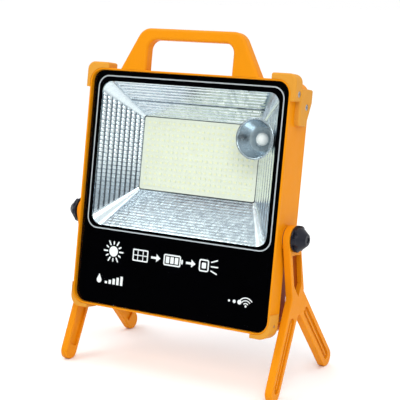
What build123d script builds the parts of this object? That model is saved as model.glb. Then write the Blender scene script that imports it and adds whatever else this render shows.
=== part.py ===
from build123d import *
import math
import os

# Portable solar flood light: a flat lamp body that swings on a Y-shaped leg at each side.
# Millimetres. +X right, +Y to the back, +Z up. The origin is on the ground, in the middle of the footprint.
# The lamp body is drawn in its own frame (pivot axis = its X axis, y to the back, z up along the body)
# and then leaned back by LEAN about the pivot axis.

# ---------------------------------------------------------------- driving dimensions
LEAN = 10.308            # lamp body leans back, degrees
PIVOT_Z = 148.94         # height of the pivot axis
GLASS_W = 220.0          # front glass
GLASS_Z0 = -90.42
GLASS_Z1 = 143.78
GLASS_T = 3.0
GLASS_Y = -18.78         # front face of the glass
GLASS_R = 12.0

HALF_W = 112.0           # lamp body half width
BODY_Z0 = -92.2
BODY_Z1 = 145.6
BODY_R = 14.0
FRONT_Y = -20.0          # front of the bezel frame
SPLIT_Y = -2.5           # parting plane between front frame and rear shell
BACK_Y = 32.0            # back plateau
BEVEL = 12.0
WALL = 3.0
BACK_WALL = 4.5

WIN_X = 99.0             # clear window and reflector mouth
WIN_Z0 = -11.0
WIN_Z1 = 133.0
LED_X = 66.0             # reflector floor opening
LED_Z0 = 28.0
LED_Z1 = 101.0
LED_Y = 17.2             # front face of the LED board
REFL_T = 1.2
REFL_Y = -14.2

HANDLE_TOP = 187.0
HANDLE_BAR = 11.0
HANDLE_DEPTH = 13.0
HANDLE_BASE = 77.5
HANDLE_TOP_X = 55.0
HAND_X = 48.0

LEG_X0 = 113.6           # inner face of a leg
LEG_T = 7.4
LEG_X1 = LEG_X0 + LEG_T
FORK = (9.0, 92.6)       # where the stem meets the two arms (y, z from the ground)
FOOT_F = (-35.5, 8.7)    # centre of the front foot's rounded end
FOOT_R = (77.5, 9.2)
FOOT_RF = 9.0
FOOT_RR = 9.5
STEM_R = 12.0

STUD_R = 2.95            # M6 stud
STUD_HOLE = 3.0
KNOB_R = 12.6
WASHER_T = 1.15
KNOB_X0 = LEG_X1 + 0.05 + WASHER_T + 0.05
KNOB_H = 11.6

CELL_R = 9.2             # 18650 cells
CELL_L = 65.0

Y_SHIFT = -((FOOT_R[0] + FOOT_RR) + (FOOT_F[0] - FOOT_RF)) / 2.0
BODY = Pos(0, Y_SHIFT, PIVOT_Z) * Rot(-LEAN, 0, 0)
GROUND = Pos(0, Y_SHIFT, 0)

os.makedirs("parts", exist_ok=True)
NODES = {}


def save(name, shape, loc=None):
    if isinstance(shape, (list, tuple)):
        shape = Compound(children=[s.moved(loc) if loc else s for s in shape])
    elif loc is not None:
        shape = shape.moved(loc)
    NODES[name] = shape
    export_step(shape, "parts/%s.step" % name)


# ---------------------------------------------------------------- helpers (body frame)
def block(x0, x1, y0, y1, z0, z1):
    return Pos((x0 + x1) / 2, (y0 + y1) / 2, (z0 + z1) / 2) * Box(x1 - x0, y1 - y0, z1 - z0)


def cyl_y(x, z, y0, y1, r):
    return Pos(x, (y0 + y1) / 2, z) * Rot(90, 0, 0) * Cylinder(r, y1 - y0)


def cyl_x(y, z, x0, x1, r):
    return Pos((x0 + x1) / 2, y, z) * Rot(0, 90, 0) * Cylinder(r, x1 - x0)


def cyl_z(x, y, z0, z1, r):
    return Pos(x, y, (z0 + z1) / 2) * Cylinder(r, z1 - z0)


def front_plane(x, y, z):
    return Plane(origin=(x, y, z), x_dir=(1, 0, 0), z_dir=(0, -1, 0))


def slab(x0, x1, z0, z1, r, y0, y1):
    sk = front_plane((x0 + x1) / 2, y1, (z0 + z1) / 2) * RectangleRounded(x1 - x0, z1 - z0, r)
    return extrude(sk, amount=y1 - y0)


def one(shape):
    s = shape.solids()
    return s[0] if len(s) == 1 else shape


def solids(shape):
    return list(shape.solids())


def tunnel(x, z0, z1, r0, ya, x1, za, zb, r1, yb):
    a = front_plane(0, ya, (z0 + z1) / 2) * RectangleRounded(2 * x, z1 - z0, r0)
    b = front_plane(0, yb, (za + zb) / 2) * RectangleRounded(2 * x1, zb - za, r1)
    return loft([a.faces()[0], b.faces()[0]], ruled=True)


def try_fillet(solid, edges, radii, tag=""):
    for r in radii:
        try:
            out = fillet(edges, radius=r)
            if out.is_valid and out.volume > 0:
                return out
        except Exception:
            pass
    print("fillet skipped", tag, len(edges))
    return solid


# ---------------------------------------------------------------- screw positions
CASE_XZ = [(101.5, 134.6), (-101.5, 134.6), (103.2, 60.0), (-103.2, 60.0),
           (92.0, -84.2), (-92.0, -84.2), (0.0, 138.9), (0.0, -86.0)]
CASE_HEAD_Y = 18.0
POST_XZ = [(82.5, 40.0), (-82.5, 40.0), (82.5, 97.0), (-82.5, 97.0)]
TAB_XZ = [(74.0, 25.0), (-74.0, 25.0), (74.0, 112.0), (-74.0, 112.0)]
PCB_XZ = [(-58.0, -74.0), (-58.0, -30.0), (78.0, -74.0), (78.0, -30.0)]
HANDLE_SX = [-66.0, -54.0, 54.0, 66.0]
HANDLE_SY = -9.4
GUARD_SCREWS = [(1, 133.0, -12.6), (-1, 133.0, -12.6), (1, -83.0, -12.6), (-1, -83.0, -12.6)]

BUTTON = (-30.0, -50.0)
PORT = (30.0, 76.0, -61.0, -39.0)        # x0, x1, z0, z1 of the port flap's recess
USB = (43.0, -50.0)
DC = (65.0, -50.0)
LENS = (-10.0, 18.0, -53.0, -47.0)
PANEL = (-92.0, 92.0, -19.0, 127.0)

# ---------------------------------------------------------------- front frame
frame = slab(-HALF_W, HALF_W, BODY_Z0, BODY_Z1, BODY_R, FRONT_Y, SPLIT_Y)
frame = try_fillet(frame, frame.faces().sort_by(Axis.Y)[0].edges(), [0.7, 0.5], "frame")
g = 0.2
frame -= slab(-GLASS_W / 2 - g, GLASS_W / 2 + g, GLASS_Z0 - g, GLASS_Z1 + g, GLASS_R + g, FRONT_Y - 1, GLASS_Y + GLASS_T + 1.0)
frame -= slab(-104.5, 104.5, -85.0, 138.3, 8.0, FRONT_Y - 1, SPLIT_Y + 1)
frame -= slab(-HALF_W + WALL, HALF_W - WALL, BODY_Z0 + WALL, BODY_Z1 - WALL, BODY_R - WALL, -12.28, SPLIT_Y + 1)
for x, z in CASE_XZ:
    frame += cyl_y(x, z, -12.28, SPLIT_Y, 4.0)
trim = slab(-HALF_W, HALF_W, BODY_Z0, BODY_Z1, BODY_R, FRONT_Y, SPLIT_Y)
frame = frame & trim
for x, z in CASE_XZ:
    frame -= cyl_y(x, z, -11.3, SPLIT_Y + 1, 1.8)
for s in (1, -1):
    frame -= cyl_x(0, 0, s * 108.0 if s > 0 else -114.0, 114.0 if s > 0 else -108.0, 12.1)
for x in HANDLE_SX:
    frame -= cyl_z(x, HANDLE_SY, 140.0, 147.0, 1.6)
groove = slab(-111.2, 111.2, BODY_Z0 + 0.8, BODY_Z1 - 0.8, BODY_R - 0.8, SPLIT_Y - 1.2, SPLIT_Y + 1) - \
    slab(-109.8, 109.8, BODY_Z0 + 2.2, BODY_Z1 - 2.2, BODY_R - 2.2, SPLIT_Y - 2, SPLIT_Y + 2)
for s in (1, -1):
    groove -= cyl_x(0, 0, 105.0 if s > 0 else -115.0, 115.0 if s > 0 else -105.0, 14.0)
frame -= groove
for s, z, y in GUARD_SCREWS:
    frame -= cyl_x(y + 1.6, z, 105.0 if s > 0 else -114.0, 114.0 if s > 0 else -105.0, 1.3)
save("front_frame", one(frame), BODY)

# ---------------------------------------------------------------- rear shell
def back_form(inset, y0, y1, bevel):
    s = slab(-HALF_W + inset, HALF_W - inset, BODY_Z0 + inset, BODY_Z1 - inset, BODY_R - inset, y0, y1)
    e = s.faces().sort_by(Axis.Y)[-1].edges()
    return chamfer(e, length=bevel)


shell = back_form(0, SPLIT_Y, BACK_Y, BEVEL)
top_face = shell.faces().sort_by(Axis.Y)[-1]
shell = try_fillet(shell, top_face.edges(), [1.6, 1.0], "shell")
outer_form = shell
cavity = back_form(WALL, SPLIT_Y - 1, BACK_Y - BACK_WALL, 10.0)
for s in (1, -1):
    x0, x1 = (100.2, 115.0) if s > 0 else (-115.0, -100.2)
    cavity -= block(x0, x1, -10, 50, -83.0, -13.2)
shell = shell - cavity
for s in (1, -1):
    x0, x1 = (103.0, 115.0) if s > 0 else (-115.0, -103.0)
    pocket = block(x0, x1, 0.0, 50, -80.0, -16.0)
    pocket = fillet(pocket.edges().filter_by(Axis.Y), radius=3.0)
    shell -= pocket
extras = None
for x, z in CASE_XZ:
    shell += cyl_y(x, z, SPLIT_Y, 29.0, 5.6) & outer_form
for x, z in POST_XZ:
    shell += cyl_y(x, z, 21.8, 28.5, 4.0)
for x, z in PCB_XZ:
    shell += cyl_y(x, z, 18.6, 28.5, 3.4)
for s in (1, -1):
    x0, x1 = (98.6, 113.0) if s > 0 else (-113.0, -98.6)
    shell += cyl_x(0, 0, x0, x1, 11.8)
for s in (1, -1):
    x0, x1 = (99.6, 114.0) if s > 0 else (-114.0, -99.6)
    shell -= cyl_x(0, 0, x0, x1, 4.2)
for x, z in CASE_XZ:
    shell -= cyl_y(x, z, CASE_HEAD_Y, 45.0, 3.9)
    shell -= cyl_y(x, z, SPLIT_Y - 1, CASE_HEAD_Y + 1, 1.85)
for x, z in POST_XZ:
    shell -= cyl_y(x, z, 20.0, 27.0, 1.3)
for x, z in PCB_XZ:
    shell -= cyl_y(x, z, 17.0, 26.0, 1.1)
# panel seat, button hole, port recess, indicator slot, pressure vent
shell -= slab(PANEL[0] - 0.2, PANEL[1] + 0.2, PANEL[2] - 0.2, PANEL[3] + 0.2, 3.0, BACK_Y - 2.5, BACK_Y + 5)
shell -= slab(70.0, 78.0, 118.0, 123.0, 2.0, 20.0, BACK_Y + 5)
shell -= cyl_y(BUTTON[0], BUTTON[1], 20.0, 45.0, 7.2)
shell -= cyl_y(BUTTON[0], BUTTON[1], BACK_Y - 0.8, 45.0, 9.5)
shell -= slab(PORT[0] - 0.2, PORT[1] + 0.2, PORT[2] - 0.2, PORT[3] + 0.2, 3.2, BACK_Y - 2.0, BACK_Y + 5)
shell -= slab(USB[0] - 7.3, USB[0] + 7.3, USB[1] - 3.7, USB[1] + 3.7, 0.6, 20.0, BACK_Y + 5)
shell -= cyl_y(DC[0], DC[1], 20.0, 45.0, 5.1)
shell -= slab(LENS[0] - 0.1, LENS[1] + 0.1, LENS[2] - 0.1, LENS[3] + 0.1, 2.4, 20.0, BACK_Y + 5)
# finger notch above the port flap
shell -= slab(48.0, 58.0, PORT[3] - 1.0, PORT[3] + 3.0, 1.5, BACK_Y - 1.4, BACK_Y + 5)
for s, z in ((1, 122.0), (-1, 122.0)):
    shell -= cyl_x(6.0, z, 105.0 if s > 0 else -114.0, 114.0 if s > 0 else -105.0, 1.3)
save("rear_shell", one(shell), BODY)

# ---------------------------------------------------------------- seals
save("glass_gasket", one(slab(-109.8, 109.8, GLASS_Z0 + 0.2, GLASS_Z1 - 0.2, 11.6, GLASS_Y + GLASS_T + 0.14, GLASS_Y + GLASS_T + 1.0)
                         - slab(-105.0, 105.0, -85.5, 138.8, 8.0, -30, 0)), BODY)
seal = slab(-111.1, 111.1, BODY_Z0 + 0.9, BODY_Z1 - 0.9, BODY_R - 0.9, SPLIT_Y - 1.15, SPLIT_Y) - \
    slab(-109.9, 109.9, BODY_Z0 + 2.1, BODY_Z1 - 2.1, BODY_R - 2.1, SPLIT_Y - 2, SPLIT_Y + 2)
for s in (1, -1):
    seal -= cyl_x(0, 0, 105.0 if s > 0 else -115.0, 115.0 if s > 0 else -105.0, 14.2)
save("case_seal", solids(seal), BODY)

# ---------------------------------------------------------------- front glass
glass = slab(-GLASS_W / 2, GLASS_W / 2, GLASS_Z0, GLASS_Z1, GLASS_R, GLASS_Y, GLASS_Y + GLASS_T)
glass = try_fillet(glass, glass.faces().sort_by(Axis.Y)[0].edges(), [0.5])
save("front_glass", one(glass), BODY)

# ---------------------------------------------------------------- carry handle
HZ = BODY_Z1
pts = [(-HANDLE_BASE, HZ), (HANDLE_BASE, HZ), (HANDLE_TOP_X, HANDLE_TOP), (-HANDLE_TOP_X, HANDLE_TOP)]
pl = front_plane(0, FRONT_Y + HANDLE_DEPTH, 0)
h_out = extrude(pl * Polygon(*pts, align=None), amount=HANDLE_DEPTH, dir=(0, -1, 0))
tops = [e for e in h_out.edges().filter_by(Axis.Y) if e.center().Z > HZ + 5]
h_out = fillet(tops, radius=15.0)
h_in = slab(-HAND_X, HAND_X, HZ - 30, HANDLE_TOP - HANDLE_BAR, 10.0, FRONT_Y - 1, FRONT_Y + HANDLE_DEPTH + 1)
handle = h_out - h_in
ring = [e for f in (handle.faces().sort_by(Axis.Y)[0], handle.faces().sort_by(Axis.Y)[-1]) for e in f.edges()
        if e.center().Z > HZ + 0.01]
handle = try_fillet(handle, ring, [2.8, 2.4, 2.0, 1.5], "handle")
for x in HANDLE_SX:
    handle -= cyl_z(x, HANDLE_SY, HZ - 1, HZ + 11.5, 1.55)
save("carry_handle", one(handle), BODY)
hs = []
for x in HANDLE_SX:
    hs.append(one(cyl_z(x, HANDLE_SY, 140.4, BODY_Z1 - WALL, 2.7) + cyl_z(x, HANDLE_SY, 140.4, HZ + 10.5, 1.5)))
save("handle_screws", hs, BODY)

# ---------------------------------------------------------------- corner guards
def guard(top, s):
    body_out = slab(-HALF_W, HALF_W, BODY_Z0, BODY_Z1, BODY_R, -60, 60)
    if top:
        xo, xi, zo, zi, yr = 116.5, 91.0, 151.5, 126.0, -5.0
        raw = slab(60.0, xo, 60.0, zo, 8.0, FRONT_Y - 0.3, yr)
        raw -= block(50.0, xi, -60, 60, 50.0, 160.0)
        raw -= block(50.0, 130.0, -60, 60, 50.0, zi)
        es = [e for e in raw.edges() if e.center().Z > BODY_Z1 + 1 or e.center().X > HALF_W + 1]
        raw = try_fillet(raw, es, [2.0, 1.6, 1.2], "guard")
        # side ear on the rear shell, cut back towards its lower end
        prof = Plane(origin=(HALF_W - 1, 0, 0), x_dir=(0, 1, 0), z_dir=(1, 0, 0)) * Polygon(
            (yr - 3.0, 139.0), (17.0, 139.0), (17.0, 126.5), (8.0, 104.0), (-6.0, 104.0), (yr - 3.0, 108.0), align=None)
        ear = extrude(prof, amount=117.2 - HALF_W + 1, dir=(1, 0, 0))
        es = [e for e in ear.edges() if e.center().X > HALF_W + 2]
        ear = try_fillet(ear, es, [1.8, 1.2], "ear")
        out = raw + ear
    else:
        xo, xi, zo, zi, yr = 113.3, 93.0, -96.0, -72.0, -3.0
        raw = slab(60.0, xo, zo, -20.0, 11.0, FRONT_Y - 0.3, yr)
        raw -= block(50.0, xi, -60, 60, -100.0, 0.0)
        raw -= block(50.0, 130.0, -60, 60, zi, 0.0)
        es = [e for e in raw.edges() if e.center().Z < BODY_Z0 - 0.5 or e.center().X > HALF_W + 0.5]
        raw = try_fillet(raw, es, [0.9, 0.6], "low guard")
        out = raw
    out -= body_out
    out = Solid(out.solids().sort_by(SortBy.VOLUME)[-1].wrapped)
    z, y = (133.0, -11.0) if top else (-83.0, -11.0)
    out -= cyl_x(y, z, 100.0, 130.0, 1.6)
    if top:
        out -= cyl_x(y, z, 114.6, 130.0, 3.1)
        out -= cyl_x(6.0, 122.0, 100.0, 130.0, 1.6)
        out -= cyl_x(6.0, 122.0, 115.3, 130.0, 3.1)
    out = one(out)
    if s < 0:
        out = out.mirror(Plane.YZ)
    return out


for name, top, s in (("guard_top_right", True, 1), ("guard_top_left", True, -1),
                     ("guard_bottom_right", False, 1), ("guard_bottom_left", False, -1)):
    save(name, guard(top, s), BODY)
gs = []
for s in (1, -1):
    for y, z, xh in ((-11.0, 133.0, 114.6), (6.0, 122.0, 115.3)):
        head = cyl_x(y, z, xh, xh + 1.5, 2.9) + cyl_x(y, z, 106.0, xh + 1.0, 1.25)
        head -= block(xh + 0.8, xh + 3, y - 1.7, y + 1.7, z - 0.4, z + 0.4) + block(xh + 0.8, xh + 3, y - 0.4, y + 0.4, z - 1.7, z + 1.7)
        head = one(head)
        gs.append(head if s > 0 else head.mirror(Plane.YZ))
    head = one(cyl_x(-11.0, -83.0, 106.0, 113.2, 1.25))
    gs.append(head if s > 0 else head.mirror(Plane.YZ))
save("guard_screws", gs, BODY)

# ---------------------------------------------------------------- reflector and sensor cup
o = REFL_T
refl = tunnel(WIN_X + o, WIN_Z0 - o, WIN_Z1 + o, 11.0 + o, REFL_Y, LED_X + o, LED_Z0 - o, LED_Z1 + o, 2.0 + o, LED_Y)
refl += slab(-103.6, 103.6, -14.3, 137.4, 9.0, REFL_Y - 1.2, REFL_Y)
for x, z in TAB_XZ:
    xs = 62.0 if x > 0 else -62.0
    zz = 30.0 if z < 60 else 99.0
    refl += cyl_y(x, z, LED_Y - 1.4, LED_Y, 4.0)
    refl += block(min(x, xs), max(x, xs), LED_Y - 1.4, LED_Y, min(z, zz), max(z, zz))
refl -= tunnel(WIN_X, WIN_Z0, WIN_Z1, 11.0, REFL_Y, LED_X, LED_Z0, LED_Z1, 2.0, LED_Y)
refl -= slab(-WIN_X, WIN_X, WIN_Z0, WIN_Z1, 11.0, REFL_Y - 3, REFL_Y + 0.01)
refl -= slab(-LED_X, LED_X, LED_Z0, LED_Z1, 2.0, LED_Y - 2.5, LED_Y + 1)
CUP = (76.5, 89.0)
CUP_R0, CUP_R1, CUP_Y0, CUP_Y1 = 18.0, 7.0, -14.6, 3.0
def cone(r0, r1, y0, y1):
    a = Plane(origin=(CUP[0], y0, CUP[1]), x_dir=(1, 0, 0), z_dir=(0, 1, 0)) * Circle(r0)
    b = Plane(origin=(CUP[0], y1, CUP[1]), x_dir=(1, 0, 0), z_dir=(0, 1, 0)) * Circle(r1)
    return loft([a.faces()[0], b.faces()[0]], ruled=True)
refl -= cone(CUP_R0 + 1.6, CUP_R1 + 1.6, CUP_Y0, CUP_Y1)
refl -= cyl_y(CUP[0], CUP[1], -16.5, CUP_Y0 + 0.6, CUP_R0 + 2.3)
refl -= cyl_y(CUP[0], CUP[1], CUP_Y1 - 0.5, LED_Y, 8.7)
for x, z in TAB_XZ:
    refl -= cyl_y(x, z, LED_Y - 3, LED_Y + 1, 1.4)
refl = Solid(refl.solids().sort_by(SortBy.VOLUME)[-1].wrapped)
save("reflector", refl, BODY)
cup = cone(CUP_R0 + 1.2, CUP_R1 + 1.2, CUP_Y0, CUP_Y1) + cyl_y(CUP[0], CUP[1], CUP_Y0 - 0.8, CUP_Y0 + 0.4, CUP_R0 + 2.0)
cup -= cone(CUP_R0, CUP_R1, CUP_Y0, CUP_Y1)
cup -= cyl_y(CUP[0], CUP[1], CUP_Y0 - 3, CUP_Y0, CUP_R0)
cup += cyl_y(CUP[0], CUP[1], CUP_Y1 - 1.2, CUP_Y1, CUP_R1 + 1.0)
cup -= cyl_y(CUP[0], CUP[1], CUP_Y1 - 3, CUP_Y1 + 1, 6.2)
save("sensor_cup", one(cup), BODY)
eye = cyl_y(CUP[0], CUP[1], CUP_Y1 - 1.6, CUP_Y1 + 1.0, 6.0) + (Pos(CUP[0], CUP_Y1 - 1.6, CUP[1]) * Sphere(6.0) & cyl_y(CUP[0], CUP[1], -20, CUP_Y1 + 0.5, 6.5))
eye += cyl_y(CUP[0], CUP[1], CUP_Y1 + 0.1, CUP_Y1 + 1.0, 6.4)
save("sensor_lens", one(eye), BODY)
save("sensor_module", one(cyl_y(CUP[0], CUP[1], CUP_Y1 + 1.0, LED_Y, 6.8) - cyl_y(CUP[0], CUP[1], CUP_Y1, CUP_Y1 + 4, 4.0)), BODY)
rs = []
for x, z in TAB_XZ:
    rs.append(one(cyl_y(x, z, LED_Y - 3.2, LED_Y - 1.4, 2.6) + cyl_y(x, z, LED_Y - 3.0, LED_Y + 4.4, 1.25)))
save("reflector_screws", rs, BODY)

# ---------------------------------------------------------------- LED board, chips, heat plate
board = block(-78.5, 78.5, LED_Y, LED_Y + 1.6, 20.0, 117.0)
for x, z in TAB_XZ:
    board -= cyl_y(x, z, LED_Y - 1, LED_Y + 3, 1.4)
save("led_board", one(board), BODY)
chips = []
NX, NZ = 22, 12
for i in range(NX):
    for j in range(NZ):
        cx = -LED_X + 5.8 + i * (2 * LED_X - 11.6) / (NX - 1)
        cz = LED_Z0 + 5.2 + j * (LED_Z1 - LED_Z0 - 10.4) / (NZ - 1)
        chips.append(block(cx - 1.75, cx + 1.75, LED_Y - 0.8, LED_Y, cz - 1.4, cz + 1.4))
save("led_chips", chips, BODY)
plate = block(-87.0, 87.0, LED_Y + 1.6, LED_Y + 4.6, 14.0, 123.0)
for k in range(9):
    x = -64.0 + 16.0 * k
    plate += block(x - 0.8, x + 0.8, LED_Y + 4.6, LED_Y + 9.0, 20.0, 117.0)
for x, z in POST_XZ:
    plate -= cyl_y(x, z, LED_Y, LED_Y + 6, 1.6)
for x, z in TAB_XZ:
    plate -= cyl_y(x, z, LED_Y, LED_Y + 4.45, 1.3)
save("heat_plate", one(plate), BODY)
ps = []
for x, z in POST_XZ:
    ps.append(one(cyl_y(x, z, LED_Y - 0.6, LED_Y + 1.6, 2.7) + cyl_y(x, z, LED_Y, 26.5, 1.25)))
save("plate_screws", ps, BODY)

# ---------------------------------------------------------------- battery and control board
rows = [-70.0, -50.4, -30.8]
CELL_Y = 1.8
holder = block(-70.0, 70.0, 4.0, 13.6, -79.4, -20.8)
for z in rows:
    holder -= cyl_x(CELL_Y, z, -66.4, 66.4, CELL_R + 0.05)
for x, z in ((-58.0, -74.0), (-58.0, -30.0), (58.0, -74.0), (58.0, -30.0)):
    holder += cyl_y(x, z, 13.0, 17.0, 3.4) if x > 0 else cyl_y(x, z, 13.0, 17.0, 3.4)
for x, z in ((-58.0, -74.0), (-58.0, -30.0)):
    holder -= cyl_y(x, z, 11.4, 18.0, 1.1)
save("battery_holder", one(holder), BODY)
cells = []
for z in rows:
    for xa in (-65.9, 0.9):
        c = cyl_x(CELL_Y, z, xa, xa + CELL_L - 1.0, CELL_R) + cyl_x(CELL_Y, z, xa + 1, xa + CELL_L, 2.8)
        cells.append(one(c))
save("battery_cells", cells, BODY)
pcb = block(-63.0, 83.0, 17.0, 18.6, -79.0, -25.0)
for x, z in PCB_XZ:
    pcb -= cyl_y(x, z, 15, 20, 1.2)
save("control_board", one(pcb), BODY)
pss = []
for x, z in PCB_XZ:
    y0 = 17.0
    if x < 0:
        pss.append(one(cyl_y(x, z, 12.0, 25.5, 1.0)))
    else:
        pss.append(one(cyl_y(x, z, 15.4, 17.0, 2.2) + cyl_y(x, z, 16.0, 25.5, 1.0)))
save("board_screws", pss, BODY)
save("tact_switch", one(block(BUTTON[0] - 3, BUTTON[0] + 3, 18.6, 22.6, BUTTON[1] - 3, BUTTON[1] + 3)
                        + cyl_y(BUTTON[0], BUTTON[1], 22.6, 23.55, 1.75)), BODY)
usb = block(USB[0] - 7.1, USB[0] + 7.1, 18.6, 29.9, USB[1] - 3.5, USB[1] + 3.5)
usb -= block(USB[0] - 6.25, USB[0] + 6.25, 20.6, 31, USB[1] - 2.56, USB[1] + 2.56)
usb += block(USB[0] - 5.55, USB[0] + 5.55, 20.0, 29.3, USB[1] - 0.1, USB[1] + 1.8)
save("usb_socket", one(usb), BODY)
dc = cyl_y(DC[0], DC[1], 18.6, 29.9, 5.0) - cyl_y(DC[0], DC[1], 20.6, 31, 2.85)
dc += cyl_y(DC[0], DC[1], 19.6, 29.2, 1.0)
save("dc_socket", one(dc), BODY)
save("charge_lens", one(slab(LENS[0], LENS[1], LENS[2], LENS[3], 2.3, 26.0, BACK_Y + 0.4)), BODY)

# ---------------------------------------------------------------- solar panel
px0, px1, pz0, pz1 = PANEL
save("panel_back", one(slab(px0, px1, pz0, pz1, 2.8, BACK_Y - 2.5, BACK_Y - 1.5)), BODY)
sc = []
nx, nz = 2, 9
mx, mz, gx, gz = 4.0, 4.0, 2.4, 1.6
cw = ((px1 - px0) - 2 * mx - (nx - 1) * gx) / nx
ch = ((pz1 - pz0) - 2 * mz - (nz - 1) * gz) / nz
for i in range(nx):
    for j in range(nz):
        xa = px0 + mx + i * (cw + gx)
        za = pz0 + mz + j * (ch + gz)
        sc.append(block(xa, xa + cw, BACK_Y - 1.5, BACK_Y - 1.25, za, za + ch))
save("solar_cells", sc, BODY)
cover = slab(px0, px1, pz0, pz1, 2.8, BACK_Y - 1.25, BACK_Y - 0.05)
cover = try_fillet(cover, cover.faces().sort_by(Axis.Y)[-1].edges(), [0.4])
save("panel_glass", one(cover), BODY)

# ---------------------------------------------------------------- power button and port flap
btn = cyl_y(BUTTON[0], BUTTON[1], 27.2, BACK_Y + 0.8, 7.0)
btn = try_fillet(btn, btn.faces().sort_by(Axis.Y)[-1].edges(), [0.9])
btn += cyl_y(BUTTON[0], BUTTON[1], 26.2, 27.3, 8.6)
btn += cyl_y(BUTTON[0], BUTTON[1], 24.8, 26.3, 2.4)
save("power_button", one(btn), BODY)
HINGE_Z = PORT[2] + 1.1
HINGE_Y = BACK_Y + 0.2
flap = slab(PORT[0] + 0.1, PORT[1] - 0.1, PORT[2] + 2.4, PORT[3] - 0.1, 2.6, BACK_Y - 1.7, BACK_Y - 0.1)
flap += slab(48.6, 57.4, PORT[3] - 3.0, PORT[3] + 1.6, 1.2, BACK_Y - 1.2, BACK_Y + 0.5)
flap += cyl_x(HINGE_Y, HINGE_Z, PORT[0] + 7.2, PORT[1] - 7.2, 1.0)
flap += block(PORT[0] + 7.2, PORT[1] - 7.2, BACK_Y - 0.8, BACK_Y - 0.1, HINGE_Z - 0.3, PORT[2] + 4.0)
save("port_flap", one(flap), BODY)
hinge_pin = [one(cyl_x(HINGE_Y, HINGE_Z, PORT[0] + 4.2, PORT[0] + 6.9, 1.0) + block(PORT[0] + 4.2, PORT[0] + 6.9, BACK_Y - 2.0, BACK_Y + 0.3, HINGE_Z - 1.0, HINGE_Z + 1.0)),
             one(cyl_x(HINGE_Y, HINGE_Z, PORT[1] - 6.9, PORT[1] - 4.2, 1.0) + block(PORT[1] - 6.9, PORT[1] - 4.2, BACK_Y - 2.0, BACK_Y + 0.3, HINGE_Z - 1.0, HINGE_Z + 1.0))]
save("flap_hinge_lugs", hinge_pin, BODY)

# ---------------------------------------------------------------- case screws
cs = []
for x, z in CASE_XZ:
    sc_ = cyl_y(x, z, CASE_HEAD_Y, CASE_HEAD_Y + 2.4, 3.4) + cyl_y(x, z, -10.8, CASE_HEAD_Y + 1, 1.75)
    sc_ -= block(x - 1.9, x + 1.9, CASE_HEAD_Y + 1.4, CASE_HEAD_Y + 4, z - 0.45, z + 0.45)
    sc_ -= block(x - 0.45, x + 0.45, CASE_HEAD_Y + 1.4, CASE_HEAD_Y + 4, z - 1.9, z + 1.9)
    cs.append(one(sc_))
save("case_screws", cs, BODY)

# ---------------------------------------------------------------- pivots
ins = []
for s in (1, -1):
    x0, x1 = (99.8, 112.4) if s > 0 else (-112.4, -99.8)
    ins.append(one(cyl_x(0, 0, x0, x1, 4.15) - cyl_x(0, 0, x0 - 1, x1 + 1, STUD_HOLE)))
save("pivot_inserts", ins, BODY)
sp = []
for s in (1, -1):
    x0, x1 = (113.0, 113.55) if s > 0 else (-113.55, -113.0)
    sp.append(one(cyl_x(0, 0, x0, x1, 11.0) - cyl_x(0, 0, x0 - 1, x1 + 1, 4.3)))
save("pivot_pads", sp, BODY)

# ---------------------------------------------------------------- legs (drawn on the ground frame)
def taper_bar(p, q, wp, wq):
    d = math.hypot(q[0] - p[0], q[1] - p[1])
    nx_, nz_ = -(q[1] - p[1]) / d, (q[0] - p[0]) / d
    return [(p[0] + nx_ * wp / 2, p[1] + nz_ * wp / 2), (q[0] + nx_ * wq / 2, q[1] + nz_ * wq / 2),
            (q[0] - nx_ * wq / 2, q[1] - nz_ * wq / 2), (p[0] - nx_ * wp / 2, p[1] - nz_ * wp / 2)]


def yz_plane(x):
    return Plane(origin=(x, 0, 0), x_dir=(0, 1, 0), z_dir=(1, 0, 0))


P0 = (0.0, PIVOT_Z)


def leg_profile(x, amount, grow, arms=True, stem=True):
    pieces = []
    if stem:
        pieces.append(Polygon(*taper_bar(P0, FORK, 2 * (STEM_R + grow), 25.6 + 2 * grow), align=None))
        pieces.append(Pos(*P0) * Circle(STEM_R + grow))
    if arms:
        pieces.append(Polygon(*taper_bar(FORK, FOOT_F, 21.0 + 2 * grow, 2 * (FOOT_RF + grow)), align=None))
        pieces.append(Polygon(*taper_bar(FORK, FOOT_R, 20.0 + 2 * grow, 2 * (FOOT_RR + grow)), align=None))
        pieces.append(Pos(*FOOT_F) * Circle(FOOT_RF + grow))
        pieces.append(Pos(*FOOT_R) * Circle(FOOT_RR + grow))
        pieces.append(Pos(*FORK) * Circle(12.2 + grow))
    pl_ = yz_plane(x)
    out = None
    for p in pieces:
        b = extrude(pl_ * p, amount=amount, dir=(1, 0, 0))
        out = b if out is None else out + b
    return out


def make_leg():
    leg = leg_profile(LEG_X0, LEG_T, 0.0)
    # soften the inside corners between the stem and the arms
    for lo, hi, r in (((-3, 40), (22, 80), 3.5), ((12, 82), (26, 104), 9.0), ((-16, 76), (2, 102), 9.0)):
        es = [e for e in leg.edges().filter_by(Axis.X)
              if lo[0] < e.center().Y < hi[0] and lo[1] < e.center().Z < hi[1]]
        if es:
            leg = try_fillet(leg, es, [r, r * 0.6, r * 0.3, 1.0], "leg corner")
    leg -= block(100, 130, -80, 120, -10.0, 0.0)
    faces = [leg.faces().sort_by(Axis.X)[-1], leg.faces().sort_by(Axis.X)[0]]
    es = [e for f in faces for e in f.edges()]
    leg = try_fillet(leg, es, [0.9, 0.7, 0.5, 0.3], "leg rim")
    return leg


leg = make_leg()
# deep recess in the stem's outer face, ending in a point above the fork
rec = extrude(yz_plane(LEG_X1 + 1) * Polygon((-5.2, 133.6), (12.6, 131.0), (15.6, 101.5), (9.2, 90.5), (8.6, 90.5), (-0.6, 103.5), align=None), amount=5.6, dir=(-1, 0, 0))
try:
    rec = fillet(rec.edges().filter_by(Axis.X), radius=1.2)
except Exception:
    pass
leg -= rec
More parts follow.
